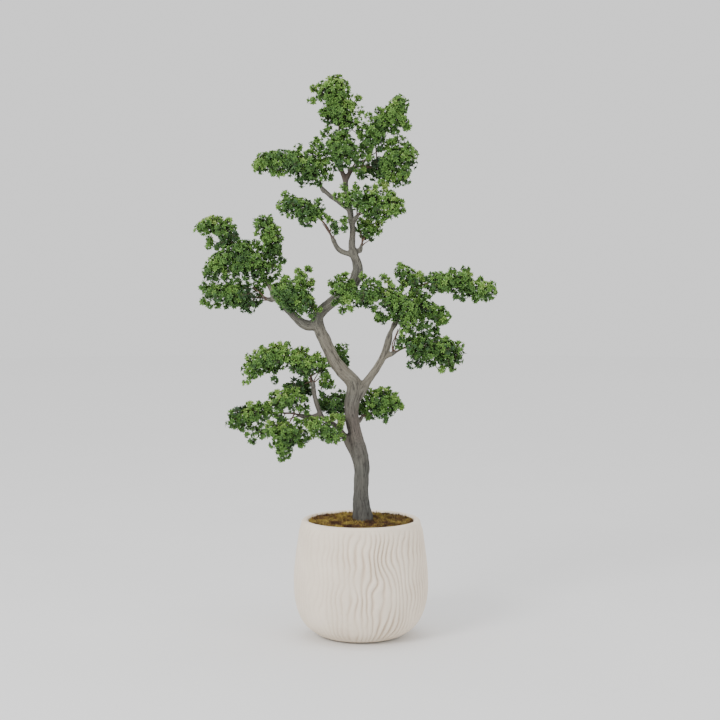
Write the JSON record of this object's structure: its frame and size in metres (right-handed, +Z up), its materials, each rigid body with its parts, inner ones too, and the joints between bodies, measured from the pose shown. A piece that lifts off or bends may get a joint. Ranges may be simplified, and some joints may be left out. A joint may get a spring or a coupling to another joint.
{
  "type": "artificial tabletop tree",
  "caption": "Artificial bonsai-style tabletop tree: winding grey-brown trunk with bendable sprays of tiny green leaves, set in moss in a rounded cream planter with carved wavy grooves.",
  "frame": {"origin": "centre of the planter's underside", "axes": "+Z up along the planter's axis, front of the tree faces -Y, +X to the viewer's right"},
  "size_m": [0.4435, 0.203, 0.8379],
  "materials": {
    "planter": "matte fibre clay with carved wavy grooves",
    "cement": "rough",
    "foam": "fine-celled foam",
    "moss": "tufted, ochre and dark brown",
    "bark": "matte moulded bark with long fissures",
    "rod": "plain",
    "twig": "matte reddish brown",
    "leaf": "soft satin green, lighter at the tips"
  },
  "bodies": {
    "tree": {"pot": "planter", "ballast": "cement", "foam_disc": "foam", "moss_mat": "moss", "core_rod": "rod", "trunk_lower": "bark", "trunk_middle": "bark", "trunk_upper": "bark", "leader": "bark", "lower_left_limb": "bark", "left_limb": "bark", "right_limb": "bark", "small_left_limb": "bark", "top_left_limb": "bark"},
    "crown_main_spray": {"crown_main_stem": "twig", "crown_tip": "leaf", "crown_heart": "leaf"},
    "crown_right_spray": {"crown_right_stem": "twig", "crown_horn": "leaf", "crown_wing": "leaf"},
    "crown_left_spray": {"crown_left_stem": "twig", "crown_left_leaves": "leaf"},
    "crown_low_spray": {"crown_low_stem": "twig", "low_crown_leaves": "leaf"},
    "small_left_spray": {"small_left_stem": "twig", "small_left_leaves": "leaf"},
    "small_right_spray": {"small_right_stem": "twig", "small_right_leaves": "leaf"},
    "left_main_spray": {"left_main_stem": "twig", "plume_outer": "leaf", "plume_inner": "leaf", "left_dome": "leaf"},
    "left_low_spray": {"left_low_stem": "twig", "left_skirt": "leaf"},
    "left_front_spray": {"left_front_stem": "twig", "left_front_leaves": "leaf"},
    "right_end_spray": {"right_end_stem": "twig", "trunk_veil": "leaf", "right_heart": "leaf", "right_crest": "leaf", "far_right": "leaf", "right_shoulder": "leaf"},
    "right_low_spray": {"right_low_stem": "twig", "right_low_leaves": "leaf"},
    "lower_upper_spray": {"lower_upper_stem": "twig", "upper_tier_tip": "leaf", "upper_tier_mid": "leaf", "behind_trunk": "leaf", "upper_tier_shade": "leaf"},
    "lower_left_spray": {"lower_left_stem": "twig", "mid_tier_mass": "leaf", "mid_tier_tip": "leaf", "mid_tier_hang": "leaf"},
    "lower_front_spray": {"lower_front_stem": "twig", "front_leaves": "leaf"},
    "lower_back_spray": {"lower_back_stem": "twig", "back_leaves": "leaf"},
    "lower_right_spray": {"lower_right_stem": "twig", "lower_right_leaves": "leaf"}
  },
  "joints": [
    {"name": "crown_main_bend", "type": "hinge", "parent": "tree", "child": "crown_main_spray", "pos_m": [-0.03, -0.001, 0.703], "axis": [1, 0, 0], "range_deg": [-10, 10]},
    {"name": "crown_right_bend", "type": "hinge", "parent": "tree", "child": "crown_right_spray", "pos_m": [-0.014, 0.003, 0.702], "axis": [1, 0, 0], "range_deg": [-10, 10]},
    {"name": "crown_left_bend", "type": "hinge", "parent": "tree", "child": "crown_left_spray", "pos_m": [-0.057, 0, 0.672], "axis": [0, 0, 1], "range_deg": [-12, 12]},
    {"name": "crown_low_bend", "type": "hinge", "parent": "tree", "child": "crown_low_spray", "pos_m": [-0.007, -0.011, 0.63], "axis": [0, 0, 1], "range_deg": [-12, 12]},
    {"name": "small_left_bend", "type": "hinge", "parent": "tree", "child": "small_left_spray", "pos_m": [-0.041, 0, 0.596], "axis": [0, 1, 0], "range_deg": [-10, 10]},
    {"name": "small_right_bend", "type": "hinge", "parent": "tree", "child": "small_right_spray", "pos_m": [-0.001, 0.002, 0.583], "axis": [1, 0, 0], "range_deg": [-12, 12]},
    {"name": "left_main_bend", "type": "hinge", "parent": "tree", "child": "left_main_spray", "pos_m": [-0.139, 0, 0.534], "axis": [0, 0, 1], "range_deg": [-12, 12]},
    {"name": "left_low_bend", "type": "hinge", "parent": "tree", "child": "left_low_spray", "pos_m": [-0.136, 0.002, 0.508], "axis": [0, 0, 1], "range_deg": [-12, 12]},
    {"name": "left_front_bend", "type": "hinge", "parent": "tree", "child": "left_front_spray", "pos_m": [-0.107, -0.011, 0.494], "axis": [0, 1, 0], "range_deg": [-10, 10]},
    {"name": "right_end_bend", "type": "hinge", "parent": "tree", "child": "right_end_spray", "pos_m": [0.056, 0, 0.482], "axis": [0, 0, 1], "range_deg": [-8, 8]},
    {"name": "right_low_bend", "type": "hinge", "parent": "tree", "child": "right_low_spray", "pos_m": [0.047, 0, 0.427], "axis": [0, 0, 1], "range_deg": [-15, 15]},
    {"name": "lower_upper_bend", "type": "hinge", "parent": "tree", "child": "lower_upper_spray", "pos_m": [-0.072, 0, 0.381], "axis": [0, 0, 1], "range_deg": [-8, 8]},
    {"name": "lower_left_bend", "type": "hinge", "parent": "tree", "child": "lower_left_spray", "pos_m": [-0.088, 0, 0.333], "axis": [0, 0, 1], "range_deg": [-12, 12]},
    {"name": "lower_front_bend", "type": "hinge", "parent": "tree", "child": "lower_front_spray", "pos_m": [-0.049, -0.011, 0.322], "axis": [0, 0, 1], "range_deg": [-12, 12]},
    {"name": "lower_back_bend", "type": "hinge", "parent": "tree", "child": "lower_back_spray", "pos_m": [-0.033, 0.011, 0.317], "axis": [0, 0, 1], "range_deg": [-12, 12]},
    {"name": "lower_right_bend", "type": "hinge", "parent": "tree", "child": "lower_right_spray", "pos_m": [-0.001, 0.013, 0.327], "axis": [0, 0, 1], "range_deg": [-15, 15]}
  ]
}
